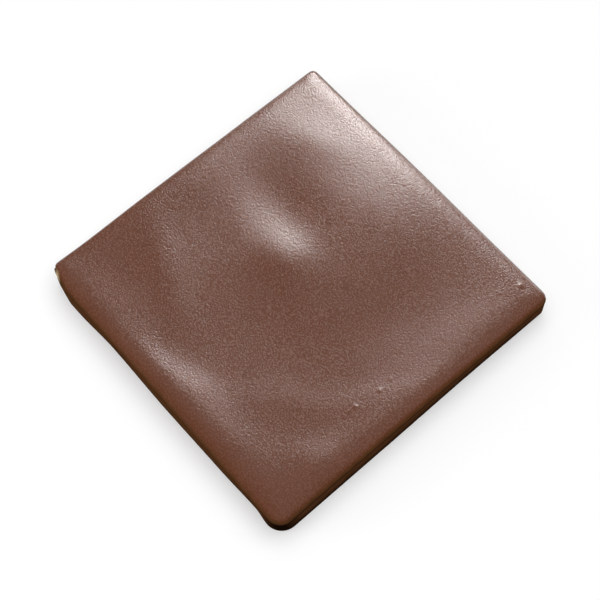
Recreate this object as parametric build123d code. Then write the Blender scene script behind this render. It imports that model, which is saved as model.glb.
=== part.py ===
"""Hand-pressed square wall tile: one piece of fired clay with a rolled, waving glazed face.

Millimetres. X and Y run along the edges, the flat bonding back lies on Z = 0
and the glazed face looks up +Z.
"""
import os
from math import cos, exp, hypot, radians, sin

from build123d import *

# Size of the tile
TILE_SIDE = 100.0
THICKNESS = 12.0

# Plan corners: each was pressed and trimmed by hand, so no two have the same radius
LEFT_CORNER_RADIUS = 1.4
NEAR_CORNER_RADIUS = 4.2
RIGHT_CORNER_RADIUS = 3.0
FAR_CORNER_RADIUS = 1.6

# Corners of the trimmed body under the glazed roll: the near one worn rounder, the others sharper
LEFT_BODY_RADIUS = 1.0
NEAR_BODY_RADIUS = 5.4
RIGHT_BODY_RADIUS = 1.0
FAR_BODY_RADIUS = 1.2

# The front side runs askew for its last stretch before the left corner, the roll more than the body
SKEW_LENGTH = 8.0
SKEW_DEPTH = 2.2
BODY_SKEW_DEPTH = 1.7
SKEW_BEND_RADIUS = 40.0

# The right side of the body was trimmed askew, in towards the right corner
RIGHT_SKEW_DEPTH = 0.6

# Rim section: the face falls to a rolled lip, and a crease under the lip follows the waves of the face
PILLOW_DROP = 1.0
PILLOW_WIDTH = 9.0
LEFT_PILLOW_WIDTH = 8.2
PILLOW_POWER = 4
LIP_RADIUS = 1.2
CREASE_DROP = 2.0
CREASE_BEVEL = 0.25
BODY_INSET = 0.2
FOOT_BEVEL = 0.8

# Shallow dips of the clay body under the glazed lip: share of the side's run, depth
FRONT_DIPS = [(0.18, 0.6), (0.47, 0.2), (0.74, 0.3), (0.92, 0.6)]
RIGHT_DIPS = [(0.35, 0.05), (0.70, 0.2)]

# Chip under the roll beside the left corner, where the bare clay shows
CHIP_BALL = 4.0
CHIP_DIRECTION = (-1.0, -3.0)
CHIP_DEPTH = 0.6
CHIP_FROM_CORNER = 1.0
CHIP_HEIGHT = 7.0

# Waves of the pressed face: centre x, centre y, reach along, reach across, turn in degrees, height
BROAD_WAVES = [
    (-4.0, 33.0, 20.0, 17.0, 0.0, 0.85),      # crown behind the middle
    (-22.5, 12.5, 15.5, 9.5, -5.0, -0.95),    # long trough
    (-8.5, 2.5, 9.0, 8.0, 10.0, 0.70),        # knoll at the trough's end
    (15.0, -16.0, 29.0, 19.0, 10.0, -1.20),   # wide dish
    (26.5, 14.5, 14.0, 22.0, 0.0, -0.95),     # hollow that runs on from the dish
    (-29.5, -7.5, 11.5, 11.5, 0.0, -0.40),    # hollow on the left
    (-36.0, -34.0, 9.0, 8.0, 0.0, -0.30),     # hollow by the left corner
]
RIM_WAVES = [
    (2.0, -47.0, 34.0, 7.0, 5.0, 1.30),       # raised front edge
    (48.5, -3.5, 8.0, 37.0, -8.0, 0.80),      # raised right edge
    (-48.0, -12.0, 8.0, 26.0, -4.0, 0.50),    # raised left edge
    (-42.5, 49.0, 33.0, 14.0, 26.0, -0.45),   # droop of the far corner
    (54.0, -54.0, 16.0, 16.0, 0.0, -0.80),    # droop of the near corner
    (-50.0, -50.0, 9.0, 9.0, 0.0, 0.70),      # lift of the left corner
]
SMALL_WAVES = [
    (-19.5, -28.5, 18.0, 5.5, -22.0, 0.28),   # low ridge across the left quarter
    (-39.0, -19.5, 10.0, 5.0, -20.0, 0.15),   # its end at the left edge
    (37.0, -11.0, 12.0, 4.0, 65.0, 0.18),     # edge of the dish, from the right round to the front
    (20.5, -28.0, 12.0, 4.0, 45.0, 0.12),
    (6.0, -40.0, 11.0, 4.0, 15.0, 0.15),
    (33.0, -28.5, 10.0, 5.5, 45.0, -0.15),    # hollow outside that edge
    (43.5, -31.0, 6.0, 6.5, 0.0, 0.40),       # swelling beside the near corner
    (-22.0, -40.0, 10.0, 5.0, 10.0, 0.10),    # start of the raised front edge
    (41.0, 26.0, 5.5, 16.5, -10.0, 0.15),     # low ridge along the right edge
    (-30.0, 33.5, 13.0, 6.5, 28.0, 0.30),     # swelling before the far corner
]

# The face is laid through points this far apart, on past the tile's edges
FACE_STEP = 3.0
FACE_MARGIN = 5.0
FACE_TOLERANCE = 0.01


def wave(x, y, centre_x, centre_y, along, across, turn, height):
    """Height added at x, y by one round-topped swelling or hollow."""
    dx = x - centre_x
    dy = y - centre_y
    u = (dx * cos(radians(turn)) + dy * sin(radians(turn))) / along
    v = (dy * cos(radians(turn)) - dx * sin(radians(turn))) / across
    return height * exp(-u * u - v * v)


def pillow(x, y):
    """Fall of the face towards the rims: slow at first, steepest at the lip, smooth round a corner."""
    past_x = max(0.0, max(x + PILLOW_WIDTH, LEFT_PILLOW_WIDTH - x) - TILE_SIDE / 2) / PILLOW_WIDTH
    past_y = max(0.0, abs(y) + PILLOW_WIDTH - TILE_SIDE / 2) / PILLOW_WIDTH
    return PILLOW_DROP * hypot(past_x ** PILLOW_POWER, past_y ** PILLOW_POWER)


def face_height(x, y):
    swell = sum(wave(x, y, *one) for one in BROAD_WAVES + RIM_WAVES + SMALL_WAVES)
    return THICKNESS + swell - pillow(x, y)


def outline(inset, skew, right_skew, left, near, right, far, front_dips=None, right_dips=None):
    """Closed plan of the tile: corners of these radii, joined by straight or dipping sides."""
    half = TILE_SIDE / 2 - inset
    corners = [
        (Vector(-half, -half + skew), left),
        (Vector(-half + SKEW_LENGTH, -half), SKEW_BEND_RADIUS),
        (Vector(half, -half), near),
        (Vector(half - right_skew, half), right),
        (Vector(-half, half), far),
    ]
    dips_by_side = [None, front_dips, right_dips, None, None]
    arcs = []
    for i, (corner, radius) in enumerate(corners):
        to_last = (corners[i - 1][0] - corner).normalized()
        to_next = (corners[(i + 1) % len(corners)][0] - corner).normalized()
        middle = (to_last + to_next).normalized()
        cosine = to_last.dot(middle)
        sine = (1 - cosine * cosine) ** 0.5
        start = corner + to_last * (radius * cosine / sine)
        end = corner + to_next * (radius * cosine / sine)
        top = corner + middle * (radius / sine - radius)
        arcs.append(ThreePointArc(start, top, end))
    edges = []
    for i, arc in enumerate(arcs):
        start = arc @ 1
        end = arcs[(i + 1) % len(arcs)] @ 0
        run = end - start
        inward = Vector(-run.Y, run.X).normalized()
        dips = dips_by_side[i]
        edges.append(arc)
        if dips:
            points = [start + run * share + inward * depth for share, depth in dips]
            edges.append(Spline(start, *points, end, tangents=(run.normalized(), run.normalized())))
        else:
            edges.append(Line(start, end))
    return make_face(Wire(edges))


# The waving face, laid through a net of points
reach = TILE_SIDE / 2 + FACE_MARGIN
count = int(round(2 * reach / FACE_STEP)) + 1
steps = [-reach + 2 * reach * i / (count - 1) for i in range(count)]
points = [[Vector(x, y, face_height(x, y)) for y in steps] for x in steps]
waving_face = Face.make_surface_from_array_of_points(points, tol=FACE_TOLERANCE, min_deg=3, max_deg=5)

# Glazed roll: full plan between the face and the crease, its lip and its underside rounded
roll_plan = outline(0, SKEW_DEPTH, 0,
                    LEFT_CORNER_RADIUS, NEAR_CORNER_RADIUS, RIGHT_CORNER_RADIUS, FAR_CORNER_RADIUS)
blank = extrude(roll_plan, 2 * THICKNESS)
roll = split(blank, bisect_by=waving_face, keep=Keep.BOTTOM)
roll = split(roll, bisect_by=Pos(0, 0, -CREASE_DROP) * waving_face, keep=Keep.TOP)
roll = fillet(roll.faces().sort_by(Axis.Z)[-1].edges(), LIP_RADIUS)
roll = chamfer(roll.faces().sort_by(Axis.Z)[0].edges(), CREASE_BEVEL)

# Clay body under the roll, a little smaller in plan and not quite straight; its top is buried in the roll
body_plan = outline(BODY_INSET, BODY_SKEW_DEPTH, RIGHT_SKEW_DEPTH,
                    LEFT_BODY_RADIUS, NEAR_BODY_RADIUS, RIGHT_BODY_RADIUS, FAR_BODY_RADIUS,
                    FRONT_DIPS, RIGHT_DIPS)
body = extrude(body_plan, 2 * THICKNESS)
body = split(body, bisect_by=Pos(0, 0, -CREASE_DROP / 2) * waving_face, keep=Keep.BOTTOM)
body = chamfer(body.faces().sort_by(Axis.Z)[0].edges(), FOOT_BEVEL)

tile = roll + body

# Shell-shaped chip out of the body's front side
body_corner = Vector(-TILE_SIDE / 2 + BODY_INSET, -TILE_SIDE / 2 + BODY_INSET + BODY_SKEW_DEPTH)
chip_place = body_corner + Vector(SKEW_LENGTH, -BODY_SKEW_DEPTH).normalized() * CHIP_FROM_CORNER
chip_centre = chip_place + Vector(*CHIP_DIRECTION).normalized() * (CHIP_BALL - CHIP_DEPTH)
tile -= Pos(chip_centre.X, chip_centre.Y, CHIP_HEIGHT) * Sphere(CHIP_BALL)

os.makedirs("parts", exist_ok=True)
export_step(tile.solid(), "parts/glazed_tile.step")
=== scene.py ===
import math

import bpy
import numpy as np
from mathutils import Matrix, Vector


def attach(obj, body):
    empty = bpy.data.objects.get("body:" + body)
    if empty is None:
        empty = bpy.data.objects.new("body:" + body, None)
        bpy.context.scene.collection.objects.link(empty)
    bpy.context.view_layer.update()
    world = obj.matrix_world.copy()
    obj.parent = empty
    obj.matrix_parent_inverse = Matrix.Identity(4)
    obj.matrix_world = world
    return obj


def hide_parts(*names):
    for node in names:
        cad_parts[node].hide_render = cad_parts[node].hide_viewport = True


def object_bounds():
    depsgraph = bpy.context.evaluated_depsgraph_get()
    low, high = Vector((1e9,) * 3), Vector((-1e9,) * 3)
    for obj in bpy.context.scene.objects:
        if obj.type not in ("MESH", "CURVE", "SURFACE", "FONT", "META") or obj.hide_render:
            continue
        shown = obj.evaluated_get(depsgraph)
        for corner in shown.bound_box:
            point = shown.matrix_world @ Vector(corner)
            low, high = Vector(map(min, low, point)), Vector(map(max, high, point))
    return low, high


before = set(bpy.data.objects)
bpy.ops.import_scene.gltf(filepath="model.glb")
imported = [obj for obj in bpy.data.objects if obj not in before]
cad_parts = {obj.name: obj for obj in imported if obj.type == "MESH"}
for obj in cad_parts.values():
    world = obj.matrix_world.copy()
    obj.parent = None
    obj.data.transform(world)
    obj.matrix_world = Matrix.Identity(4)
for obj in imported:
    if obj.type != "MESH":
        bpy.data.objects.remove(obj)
cad_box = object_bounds()
bpy.ops.object.select_all(action="DESELECT")

# The tile: one slab of clay pressed flat by hand, dipped in a satin brown glaze and fired as one piece.
# Its face waves where the clay was pressed and rolls over at the rim, and a crease runs under the roll.
# Below the crease the trimmed sides are dull and thinly glazed; bare clay shows at the foot, back and chip.
HALF = cad_box[1][0]
THICKNESS = 0.0120
LEFT, NEAR, RIGHT, FAR = (-1, -1), (1, -1), (1, 1), (-1, 1)
CORNER_RADII = {LEFT: 0.0014, NEAR: 0.0042, RIGHT: 0.0030, FAR: 0.0016}
BODY_RADII = {LEFT: 0.0010, NEAR: 0.0054, RIGHT: 0.0010, FAR: 0.0012}
SKEW_LENGTH, SKEW_FADE = 0.0080, 0.0120
SKEW_DEPTH, BODY_SKEW_DEPTH = 0.0024, 0.0016
RIGHT_SKEW_DEPTH = 0.0006
PILLOW_DROP, PILLOW_WIDTH = 0.0010, 0.0090
LEFT_PILLOW_WIDTH = 0.0082
LIP_RADIUS = 0.0012
CREASE_DROP, CREASE_ROUND = 0.0020, 0.00025
BODY_INSET = 0.0002
FOOT_RADIUS = 0.0008

# Shallow dips of the body under the roll on the front and right sides: share of the side's run, depth
FRONT_RUN, RIGHT_RUN = (-0.0383, 0.0458), (-0.0458, 0.0470)
FRONT_DIPS = [(0, 0), (0.18, 0.0006), (0.47, 0.0002), (0.74, 0.0003), (0.92, 0.0006), (1, 0)]
RIGHT_DIPS = [(0, 0), (0.35, 0.00005), (0.70, 0.0002), (1, 0)]

# Swellings and hollows of the face: centre x, centre y, reach along, reach across, turn in degrees, height
WAVES = [
    (-0.0040, 0.0330, 0.0200, 0.0170, 0, 0.00085),
    (-0.0225, 0.0125, 0.0155, 0.0095, -5, -0.00095),
    (-0.0085, 0.0025, 0.0090, 0.0080, 10, 0.00070),
    (0.0150, -0.0160, 0.0290, 0.0190, 10, -0.00120),
    (0.0265, 0.0145, 0.0140, 0.0220, 0, -0.00095),
    (-0.0295, -0.0075, 0.0115, 0.0115, 0, -0.00040),
    (-0.0360, -0.0340, 0.0090, 0.0080, 0, -0.00030),
    (0.0020, -0.0470, 0.0340, 0.0070, 5, 0.00130),
    (0.0485, -0.0035, 0.0080, 0.0370, -8, 0.00080),
    (-0.0480, -0.0120, 0.0080, 0.0260, -4, 0.00050),
    (-0.0425, 0.0490, 0.0330, 0.0140, 26, -0.00045),
    (0.0540, -0.0540, 0.0160, 0.0160, 0, -0.00080),
    (-0.0500, -0.0500, 0.0090, 0.0090, 0, 0.00070),
    (-0.0195, -0.0285, 0.0180, 0.0055, -22, 0.00028),
    (-0.0390, -0.0195, 0.0100, 0.0050, -20, 0.00015),
    (0.0370, -0.0110, 0.0120, 0.0040, 65, 0.00018),
    (0.0205, -0.0280, 0.0120, 0.0040, 45, 0.00012),
    (0.0060, -0.0400, 0.0110, 0.0040, 15, 0.00015),
    (0.0330, -0.0285, 0.0100, 0.0055, 45, -0.00015),
    (0.0435, -0.0310, 0.0060, 0.0065, 0, 0.00040),
    (-0.0220, -0.0400, 0.0100, 0.0050, 10, 0.00010),
    (0.0410, 0.0260, 0.0055, 0.0165, -10, 0.00015),
    (-0.0300, 0.0335, 0.0130, 0.0065, 28, 0.00030),
]


def face_height(x, y):
    """Height of the waving face over the back."""
    z = np.full_like(x, THICKNESS)
    for centre_x, centre_y, along, across, turn, height in WAVES:
        c, s = math.cos(math.radians(turn)), math.sin(math.radians(turn))
        u = ((x - centre_x) * c + (y - centre_y) * s) / along
        v = ((y - centre_y) * c - (x - centre_x) * s) / across
        z += height * np.exp(-u * u - v * v)
    past_x = np.maximum(x + PILLOW_WIDTH, LEFT_PILLOW_WIDTH - x) - HALF
    past_y = np.abs(y) + PILLOW_WIDTH - HALF
    past_x, past_y = np.clip(past_x / PILLOW_WIDTH, 0, None), np.clip(past_y / PILLOW_WIDTH, 0, None)
    return z - PILLOW_DROP * np.hypot(past_x ** 4, past_y ** 4)


# A fine sheet for the middle of the face, whose border is extruded ring by ring for the rim, sides and foot
FACE_CELLS = 220
RIM_START = 0.0060
RING_STEP = 0.001
cell = 2 * (HALF - RIM_START) / FACE_CELLS

# Rings of the rim's section: distance in from the outline, share of the body's dips,
# share of the crease's height, and height over that
rings = []
for i in range(1, 13):
    rings.append((RIM_START - (RIM_START - LIP_RADIUS) * i / 12, 0, 1, CREASE_DROP))
for i in range(1, 10):
    a = math.radians(10 * i)
    rings.append((LIP_RADIUS * (1 - math.sin(a)), 0, 1, CREASE_DROP - LIP_RADIUS * (1 - math.cos(a))))
for i in range(0, 4):
    a = math.radians(30 * i)
    rings.append((CREASE_ROUND * (1 - math.cos(a)), 0, 1, CREASE_ROUND * (1 - math.sin(a))))
CREASE_RING = len(rings)
for share in (0.98, 0.90, 0.75, 0.60, 0.45, 0.30, 0.18):
    rings.append((BODY_INSET, 1, share, 0))
for i in range(0, 6):
    a = math.radians(18 * i)
    rings.append((BODY_INSET + FOOT_RADIUS * (1 - math.cos(a)), 1, 0, FOOT_RADIUS * (1 - math.sin(a))))

bpy.ops.mesh.primitive_grid_add(x_subdivisions=FACE_CELLS, y_subdivisions=FACE_CELLS,
                                size=FACE_CELLS * cell)
tile = bpy.context.object
tile.name = "tile_glazed"
tile.data.name = "tile_glazed"
bpy.ops.object.mode_set(mode="EDIT")
bpy.ops.mesh.select_mode(type="EDGE")
bpy.ops.mesh.select_all(action="DESELECT")
bpy.ops.mesh.select_non_manifold(extend=False)
for ring in rings:
    bpy.ops.mesh.extrude_edges_move(TRANSFORM_OT_translate={"value": (0, 0, -RING_STEP)})
bpy.ops.mesh.edge_face_add()
bpy.ops.object.mode_set(mode="OBJECT")

# Every ring goes to its place in from the outline, with the last cells bunched round each corner
CORNER_CELLS = 12
mesh = tile.data
place = np.empty(len(mesh.vertices) * 3)
mesh.vertices.foreach_get("co", place)
place = place.reshape(-1, 3)
column, row = np.rint(place[:, 0] / cell), np.rint(place[:, 1] / cell)
ring_number = np.rint(-place[:, 2] / RING_STEP).astype(int)
inset, dip_share, crease_share, rise = np.array([(RIM_START, 0, 1, CREASE_DROP)] + rings)[ring_number].T
side_x = np.where(column < 0, -1, 1)
side_y = np.where(row < 0, -1, 1)
on_x_side = np.abs(column) >= np.abs(row)
along = np.minimum(np.abs(column), np.abs(row)) * cell
straight = (FACE_CELLS / 2 - CORNER_CELLS) * cell
cells_past = np.clip((along - straight) / (CORNER_CELLS * cell), 0, 1)
reach = np.where(along <= straight, along, straight + cells_past * (HALF - straight))
corner = list(zip(side_x.tolist(), side_y.tolist()))
roll_radius = np.array([CORNER_RADII[one] for one in corner])
body_radius = np.array([BODY_RADII[one] for one in corner])


def dip(dips, run, position):
    """Depth of a side's dips at this place along it, smooth from each low or high to the next."""
    share = np.clip((position - run[0]) / (run[1] - run[0]), 0, 1)
    marks = [mark for mark, depth in dips]
    depths = np.array([depth for mark, depth in dips])
    step = np.clip(np.searchsorted(marks, share) - 1, 0, len(dips) - 2)
    start, end = np.array(marks)[step], np.array(marks)[step + 1]
    t = np.clip((share - start) / (end - start), 0, 1)
    return depths[step] + (depths[step + 1] - depths[step]) * t * t * (3 - 2 * t)


round_off = np.where(dip_share > 0, body_radius + BODY_INSET, roll_radius) - inset
round_off = np.maximum(round_off, 0.00002)
right_dip = dip(RIGHT_DIPS, RIGHT_RUN, reach * np.sign(row))
front_dip = dip(FRONT_DIPS, FRONT_RUN, reach * np.sign(column))
inset += dip_share * np.where(on_x_side & (side_x > 0), right_dip, 0)
inset += dip_share * np.where(~on_x_side & (side_y < 0), front_dip, 0)
edge = HALF - inset
run = edge - round_off - straight
path = cells_past * (run + round_off * math.pi / 4)
angle = np.clip(path - run, 0, None) / round_off
bunched = np.where(path < run, straight + path, edge - round_off + round_off * np.sin(angle))
length = np.where(along <= straight, along, bunched)
depth = np.where(path < run, edge, edge - round_off + round_off * np.cos(angle))
rim = ring_number > 0
x = np.where(rim, np.where(on_x_side, depth, length) * np.where(column == 0, 0, side_x), place[:, 0])
y = np.where(rim, np.where(on_x_side, length, depth) * np.where(row == 0, 0, side_y), place[:, 1])
x = np.where(rim & ~on_x_side, length * np.sign(column), x)
y = np.where(rim & on_x_side, length * np.sign(row), y)

# The front side runs askew before the left corner, the right side of the body towards the right corner
askew = np.clip((SKEW_LENGTH - HALF - x) / SKEW_LENGTH, 0, 1.2)
skew = np.where(dip_share > 0, BODY_SKEW_DEPTH, SKEW_DEPTH)
y = y + skew * askew ** 1.1 * np.clip((SKEW_FADE - HALF - y) / SKEW_FADE, 0, 1)
lean = np.clip((y + HALF) / (2 * HALF), 0, 1)
x = x - dip_share * RIGHT_SKEW_DEPTH * lean * np.clip((SKEW_FADE - HALF + x) / SKEW_FADE, 0, 1)
z = np.minimum(crease_share * (face_height(x, y) - CREASE_DROP) + rise, cad_box[1][2])
mesh.vertices.foreach_set("co", np.stack([x, y, z], 1).ravel())

# Mask of the rim, where the grain calms: most on the front and right sides and round the near corner
LIP_CALM, CORNER_CALM = 0.0035, 0.0140
calm_side = np.where(np.where(on_x_side, side_x > 0, side_y < 0), 1, 0.5)
near_lip = np.where(rim, calm_side * np.exp(-inset / LIP_CALM), 0)
from_near_corner = np.hypot(x - HALF, y + HALF)
near_corner = 0.8 * np.exp(-(from_near_corner / CORNER_CALM) ** 2)
rim_mask = mesh.attributes.new("rim", "FLOAT", "POINT")
rim_mask.data.foreach_set("value", np.maximum(near_lip, near_corner))

# Mask of the unshaded sides: painted shade darkens the crease, the foot and the sides round the near
# corner, where little light reaches
below_crease = face_height(x, y) - CREASE_DROP - z
# Painted foot shade: taller on the left and right sides, narrowing towards their far ends
foot_shade_low = np.where(on_x_side, np.interp(y, [0.038, 0.047], [0.0012, 0.0003]), 0.0005)
foot_shade_fade = np.where(on_x_side, np.interp(y, [0.038, 0.047], [0.0034, 0.0018]), 0.0020)
unshaded = np.clip(np.minimum(0.3 + below_crease / 0.0025, (z - foot_shade_low) / foot_shade_fade), 0, 1)
# Painted shade darkens the sides round the near corner
unshaded *= np.clip((from_near_corner - 0.0030) / 0.0060, 0, 1)
# Painted shade darkens the lower part of the roll just above the crease
roll_unshaded = np.interp(ring_number, [CREASE_RING - 6, CREASE_RING - 3], [1, 0.3])
unshaded_mask = mesh.attributes.new("unshaded", "FLOAT", "POINT")
unshaded_mask.data.foreach_set("value", np.where(ring_number > CREASE_RING, unshaded, roll_unshaded))

# Mask of the patch beside the left corner where the glaze is rubbed off the front side
RUBBED_X, RUBBED_Z = -0.0472, 0.0096
RUBBED_WIDE, RUBBED_HIGH = 0.0011, 0.0021
rubbed_off = np.clip(1.6 - np.hypot((x - RUBBED_X) / RUBBED_WIDE, (z - RUBBED_Z) / RUBBED_HIGH), 0, 1)
bare_mask = mesh.attributes.new("bare", "FLOAT", "POINT")
bare_mask.data.foreach_set("value", np.where(y < 0, rubbed_off, 0))
mesh.update()
bpy.ops.object.shade_smooth_by_angle(angle=math.radians(60))

# Pimples in the glaze: place, width and height, each pulled up from the face
PIMPLES = [
    (0.0423, 0.0461, 0.0013, 0.00024),
    (0.0379, -0.0122, 0.0009, 0.00019),
    (0.0388, -0.0042, 0.0010, 0.00018),
    (0.0382, 0.0004, 0.0008, 0.00010),
    (0.0397, 0.0400, 0.0011, 0.00006),
    (0.0455, -0.0465, 0.0008, 0.00010),
    (0.0432, -0.0466, 0.0008, 0.00008),
]
for pimple_x, pimple_y, width, tall in PIMPLES:
    bpy.ops.object.mode_set(mode="EDIT")
    bpy.ops.mesh.select_mode(type="VERT")
    bpy.ops.mesh.select_all(action="DESELECT")
    bpy.ops.object.mode_set(mode="OBJECT")
    nearest = int(np.argmin(np.hypot(x - pimple_x, y - pimple_y) + np.where(z < THICKNESS / 2, 1, 0)))
    mesh.vertices[nearest].select = True
    bpy.ops.object.mode_set(mode="EDIT")
    bpy.ops.transform.translate(value=(0, 0, tall), use_proportional_edit=True,
                                proportional_edit_falloff="SMOOTH", proportional_size=width)
    bpy.ops.object.mode_set(mode="OBJECT")

# Mottling of glaze and clay alike: two tones of a colour in soft clouds
mottle = bpy.data.node_groups.new("mottled_tone", "ShaderNodeTree")
mottle.interface.new_socket("Dark", in_out="INPUT", socket_type="NodeSocketColor")
mottle.interface.new_socket("Light", in_out="INPUT", socket_type="NodeSocketColor")
mottle.interface.new_socket("Scale", in_out="INPUT", socket_type="NodeSocketFloat")
mottle.interface.new_socket("Color", in_out="OUTPUT", socket_type="NodeSocketColor")
mottle.interface.new_socket("Cloud", in_out="OUTPUT", socket_type="NodeSocketFloat")
nodes, links = mottle.nodes, mottle.links
given = nodes.new("NodeGroupInput")
result = nodes.new("NodeGroupOutput")
where = nodes.new("ShaderNodeTexCoord")
cloud = nodes.new("ShaderNodeTexNoise")
cloud.inputs["Detail"].default_value = 4
links.new(where.outputs["Object"], cloud.inputs["Vector"])
links.new(given.outputs["Scale"], cloud.inputs["Scale"])
tone = nodes.new("ShaderNodeMix")
tone.data_type = "RGBA"
links.new(cloud.outputs["Fac"], tone.inputs["Factor"])
links.new(given.outputs["Dark"], tone.inputs["A"])
links.new(given.outputs["Light"], tone.inputs["B"])
links.new(tone.outputs["Result"], result.inputs["Color"])
links.new(cloud.outputs["Fac"], result.inputs["Cloud"])

# The glaze of the face: satin, with a fine grain that calms towards the rolled rim
glaze = bpy.data.materials.new("satin_brown_glaze")
glaze.use_nodes = True
nodes, links = glaze.node_tree.nodes, glaze.node_tree.links
shader = nodes["Principled BSDF"]
tone = nodes.new("ShaderNodeGroup")
tone.node_tree = mottle
tone.inputs["Dark"].default_value = (0.118, 0.037, 0.0163, 1)
tone.inputs["Light"].default_value = (0.142, 0.0463, 0.0211, 1)
tone.inputs["Scale"].default_value = 90
where = nodes.new("ShaderNodeTexCoord")
fine = nodes.new("ShaderNodeTexNoise")
fine.inputs["Scale"].default_value = 2100
fine.inputs["Detail"].default_value = 2
fine.inputs["Roughness"].default_value = 0.6
links.new(where.outputs["Object"], fine.inputs["Vector"])
pits = nodes.new("ShaderNodeMapRange")
pits.inputs["From Min"].default_value = 0.3
pits.inputs["From Max"].default_value = 0.7
pits.inputs["To Min"].default_value = 0.82
pits.inputs["To Max"].default_value = 1.18
links.new(fine.outputs["Fac"], pits.inputs["Value"])
specks = nodes.new("ShaderNodeMix")
specks.data_type = "RGBA"
specks.blend_type = "MULTIPLY"
links.new(tone.outputs["Color"], specks.inputs["A"])
links.new(pits.outputs["Result"], specks.inputs["B"])
links.new(specks.outputs["Result"], shader.inputs["Base Color"])
edge_mask = nodes.new("ShaderNodeAttribute")
edge_mask.attribute_name = "rim"
calm = nodes.new("ShaderNodeMapRange")
calm.inputs["From Min"].default_value = 0.2
calm.inputs["From Max"].default_value = 0.9
calm.inputs["To Min"].default_value = 1
calm.inputs["To Max"].default_value = 0.15
links.new(edge_mask.outputs["Fac"], calm.inputs["Value"])
links.new(calm.outputs["Result"], specks.inputs["Factor"])
grain = nodes.new("ShaderNodeMath")
grain.operation = "MULTIPLY"
links.new(fine.outputs["Fac"], grain.inputs[0])
links.new(calm.outputs["Result"], grain.inputs[1])
bump = nodes.new("ShaderNodeBump")
bump.inputs["Strength"].default_value = 1.0
bump.inputs["Distance"].default_value = 0.00011
links.new(grain.outputs[0], bump.inputs["Height"])
links.new(bump.outputs["Normal"], shader.inputs["Normal"])
gloss = nodes.new("ShaderNodeMapRange")
gloss.inputs["From Min"].default_value = 0.3
gloss.inputs["From Max"].default_value = 0.7
gloss.inputs["To Min"].default_value = 0.09
gloss.inputs["To Max"].default_value = 0.39
links.new(fine.outputs["Fac"], gloss.inputs["Value"])
links.new(gloss.outputs["Result"], shader.inputs["Roughness"])
shader.inputs["IOR"].default_value = 1.59
mesh.materials.append(glaze)

# The thin glaze of the lip's outer edge and the sides: dull and soaked into the clay, with painted shade in
# the crease, at the foot and round the near corner
dull = bpy.data.materials.new("dull_thin_glaze")
dull.use_nodes = True
nodes, links = dull.node_tree.nodes, dull.node_tree.links
shader = nodes["Principled BSDF"]
tone = nodes.new("ShaderNodeGroup")
tone.node_tree = mottle
tone.inputs["Dark"].default_value = (0.079, 0.031, 0.0115, 1)
tone.inputs["Light"].default_value = (0.149, 0.060, 0.024, 1)
tone.inputs["Scale"].default_value = 300
above = nodes.new("ShaderNodeAttribute")
above.attribute_name = "unshaded"
# Painted shade: the sides blend to near black where the mask marks the crease, the foot and the near corner
foot = nodes.new("ShaderNodeMix")
foot.data_type = "RGBA"
foot.inputs["A"].default_value = (0.014, 0.006, 0.003, 1)
links.new(above.outputs["Fac"], foot.inputs["Factor"])
links.new(tone.outputs["Color"], foot.inputs["B"])
chipped = nodes.new("ShaderNodeAttribute")
chipped.attribute_name = "bare"
rubbed = nodes.new("ShaderNodeMix")
rubbed.data_type = "RGBA"
rubbed.inputs["B"].default_value = (0.60, 0.42, 0.25, 1)
links.new(chipped.outputs["Fac"], rubbed.inputs["Factor"])
links.new(foot.outputs["Result"], rubbed.inputs["A"])
links.new(rubbed.outputs["Result"], shader.inputs["Base Color"])
bump = nodes.new("ShaderNodeBump")
bump.inputs["Strength"].default_value = 0.6
bump.inputs["Distance"].default_value = 0.0002
links.new(tone.outputs["Cloud"], bump.inputs["Height"])
links.new(bump.outputs["Normal"], shader.inputs["Normal"])
shader.inputs["Roughness"].default_value = 0.85
shader.inputs["Specular IOR Level"].default_value = 0
mesh.materials.append(dull)

# The bare fired clay of the foot's edge, the back and the chip: pale, gritty and without a shine
clay = bpy.data.materials.new("bare_clay")
clay.use_nodes = True
nodes, links = clay.node_tree.nodes, clay.node_tree.links
shader = nodes["Principled BSDF"]
tone = nodes.new("ShaderNodeGroup")
tone.node_tree = mottle
tone.inputs["Dark"].default_value = (0.42, 0.26, 0.13, 1)
tone.inputs["Light"].default_value = (0.62, 0.42, 0.24, 1)
tone.inputs["Scale"].default_value = 500
links.new(tone.outputs["Color"], shader.inputs["Base Color"])
bump = nodes.new("ShaderNodeBump")
bump.inputs["Strength"].default_value = 0.5
bump.inputs["Distance"].default_value = 0.0002
links.new(tone.outputs["Cloud"], bump.inputs["Height"])
links.new(bump.outputs["Normal"], shader.inputs["Normal"])
shader.inputs["Roughness"].default_value = 0.9
shader.inputs["Specular IOR Level"].default_value = 0
mesh.materials.append(clay)

# The satin glaze ends part way round the lip: soon on the front and right sides, later on the other two
lip_end = np.where(on_x_side, np.where(side_x > 0, 15, 17), np.where(side_y < 0, 15, 21))
coat = np.zeros(len(mesh.polygons), np.int32)
for face in mesh.polygons:
    upper = min(face.vertices, key=ring_number.__getitem__)
    if ring_number[upper] >= len(rings) - 3:
        coat[face.index] = 2
    elif ring_number[upper] >= lip_end[upper]:
        coat[face.index] = 1
mesh.polygons.foreach_set("material_index", coat)

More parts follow.
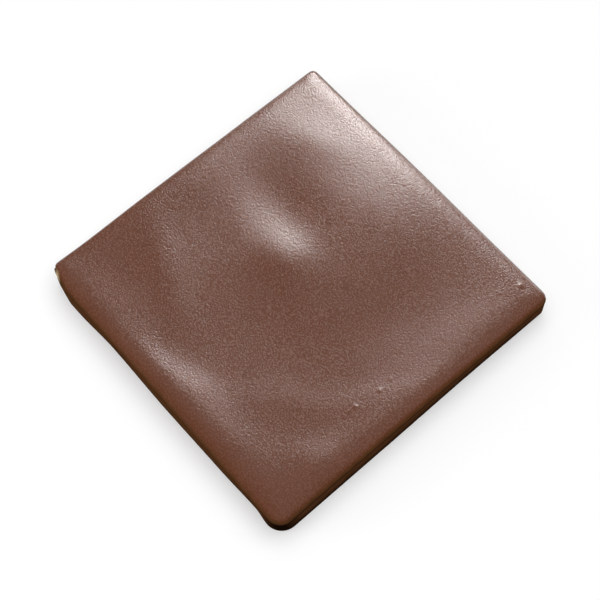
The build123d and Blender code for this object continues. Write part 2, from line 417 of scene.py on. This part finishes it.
# The chip under the roll beside the left corner, knocked out of the edge after firing
CHIP_BALL, CHIP_DEPTH, CHIP_HEIGHT = 0.0040, 0.0003, 0.0070
CHIP_FROM_CORNER = 0.0010
body_corner = Vector((-HALF + BODY_INSET, -HALF + BODY_INSET + BODY_SKEW_DEPTH, CHIP_HEIGHT))
chip_place = body_corner + Vector((SKEW_LENGTH, -BODY_SKEW_DEPTH, 0)).normalized() * CHIP_FROM_CORNER
chip_centre = chip_place + Vector((-1, -3, 0)).normalized() * (CHIP_BALL - CHIP_DEPTH)
bpy.ops.object.select_all(action="DESELECT")
bpy.ops.mesh.primitive_uv_sphere_add(segments=96, ring_count=64, radius=CHIP_BALL, location=chip_centre)
ball = bpy.context.object
ball.data.materials.append(clay)
bpy.ops.object.select_all(action="DESELECT")
tile.select_set(True)
bpy.context.view_layer.objects.active = tile
cut = tile.modifiers.new("chip", "BOOLEAN")
cut.operation = "DIFFERENCE"
cut.object = ball
cut.solver = "EXACT"
cut.material_mode = "TRANSFER"
bpy.ops.object.modifier_apply(modifier=cut.name)
bpy.data.objects.remove(ball)

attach(tile, "root")
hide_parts("glazed_tile")

# The floor: a pale seamless sheet of paper that the tile lies on
bpy.ops.mesh.primitive_plane_add(size=6.0, location=(0, 0, 0))
floor = bpy.context.object
floor.name = "floor"
paper = bpy.data.materials.new("pale_paper")
paper.use_nodes = True
nodes, links = paper.node_tree.nodes, paper.node_tree.links
nodes.remove(nodes["Principled BSDF"])
seen = nodes.new("ShaderNodeLightPath")
eye = nodes.new("ShaderNodeMath")
eye.operation = "MAXIMUM"
links.new(seen.outputs["Is Camera Ray"], eye.inputs[0])
links.new(seen.outputs["Is Glossy Ray"], eye.inputs[1])
eye_or_glass = nodes.new("ShaderNodeMath")
eye_or_glass.operation = "MAXIMUM"
links.new(eye.outputs[0], eye_or_glass.inputs[0])
links.new(seen.outputs["Is Transmission Ray"], eye_or_glass.inputs[1])
sheet = nodes.new("ShaderNodeBsdfDiffuse")
sheet.inputs["Color"].default_value = (0.64, 0.64, 0.64, 1)
white = nodes.new("ShaderNodeEmission")
white.inputs["Color"].default_value = (1, 1, 1, 1)
lift = nodes.new("ShaderNodeMath")
lift.operation = "MULTIPLY"
lift.inputs[1].default_value = 0.38
links.new(eye_or_glass.outputs[0], lift.inputs[0])
links.new(lift.outputs[0], white.inputs["Strength"])
both = nodes.new("ShaderNodeAddShader")
links.new(sheet.outputs[0], both.inputs[0])
links.new(white.outputs[0], both.inputs[1])
links.new(both.outputs[0], nodes["Material Output"].inputs["Surface"])
floor.data.materials.append(paper)

# The light: a softbox behind the far corner with its glow in the room, a broad soft light from above,
# a weak one from the left of the camera, and two low ones that only glint on the far and left rims
BOX_AZIMUTH, BOX_ELEVATION = math.radians(128), math.radians(39)
BOX_DIRECTION = Vector((math.cos(BOX_ELEVATION) * math.cos(BOX_AZIMUTH),
                        math.cos(BOX_ELEVATION) * math.sin(BOX_AZIMUTH), math.sin(BOX_ELEVATION)))
room = bpy.data.worlds.new("dim_room")
bpy.context.scene.world = room
room.use_nodes = True
nodes, links = room.node_tree.nodes, room.node_tree.links
nodes["Background"].inputs["Color"].default_value = (1, 1, 1, 1)
look = nodes.new("ShaderNodeTexCoord")
toward = nodes.new("ShaderNodeVectorMath")
toward.operation = "DOT_PRODUCT"
toward.inputs[1].default_value = BOX_DIRECTION
links.new(look.outputs["Generated"], toward.inputs[0])
ahead = nodes.new("ShaderNodeMath")
ahead.operation = "MAXIMUM"
ahead.inputs[1].default_value = 0
links.new(toward.outputs["Value"], ahead.inputs[0])
falloff = nodes.new("ShaderNodeMath")
falloff.operation = "POWER"
falloff.inputs[1].default_value = 2.3
links.new(ahead.outputs[0], falloff.inputs[0])
glow = nodes.new("ShaderNodeMath")
glow.operation = "MULTIPLY_ADD"
glow.inputs[1].default_value = 0.45
glow.inputs[2].default_value = 0.06
links.new(falloff.outputs[0], glow.inputs[0])
links.new(glow.outputs[0], nodes["Background"].inputs["Strength"])


def soft_light(name, size, watts, place):
    """A square softbox that looks at the tile."""
    lamp = bpy.data.lights.new(name, "AREA")
    lamp.shape = "RECTANGLE"
    lamp.size, lamp.size_y = size, size
    lamp.energy = watts
    stand = bpy.data.objects.new(name, lamp)
    bpy.context.collection.objects.link(stand)
    stand.location = place
    stand.rotation_euler = (Vector((0, 0, 0.01)) - stand.location).to_track_quat("-Z", "Y").to_euler()
    return stand


box = soft_light("far_softbox", 0.16, 1.55, 0.4 * BOX_DIRECTION)
box.visible_diffuse = False
top = soft_light("top_light", 1.0, 8.4, Vector((0.08, 0.04, 0.9)))
top.visible_glossy = False
fill = soft_light("left_fill", 0.3, 0.70, Vector((-0.25, -0.45, 0.16)))
fill.visible_glossy = False
far_strip = soft_light("far_strip", 0.25, 0.80, Vector((-0.10, 0.48, 0.10)))
far_strip.visible_diffuse = False
left_strip = soft_light("left_strip", 0.25, 0.45, Vector((-0.44, 0.25, 0.12)))
left_strip.visible_diffuse = False

# The camera: a long lens that looks down on the tile, whose near corner is at the bottom of the picture
AZIMUTH, ELEVATION, ROLL = math.radians(51.95), math.radians(66.82), math.radians(-3.24)
DISTANCE = 0.45417
FOCAL_PIXELS, PICTURE_PIXELS = 1585.5, 600
back = Vector((math.sin(AZIMUTH) * math.cos(ELEVATION), -math.cos(AZIMUTH) * math.cos(ELEVATION),
               math.sin(ELEVATION)))
right = Vector((0, 0, 1)).cross(back).normalized()
up = back.cross(right)
right, up = math.cos(ROLL) * right + math.sin(ROLL) * up, -math.sin(ROLL) * right + math.cos(ROLL) * up
lens = bpy.data.cameras.new("camera")
lens.sensor_width = 36
lens.lens = FOCAL_PIXELS * lens.sensor_width / PICTURE_PIXELS
lens.shift_x, lens.shift_y = 0.0032, -0.0009
lens.clip_start = 0.01
camera = bpy.data.objects.new("camera", lens)
bpy.context.collection.objects.link(camera)
camera.matrix_world = Matrix.Translation(back * DISTANCE) @ Matrix((right, up, back)).transposed().to_4x4()
bpy.context.scene.camera = camera
bpy.context.scene.view_settings.view_transform = "Standard"
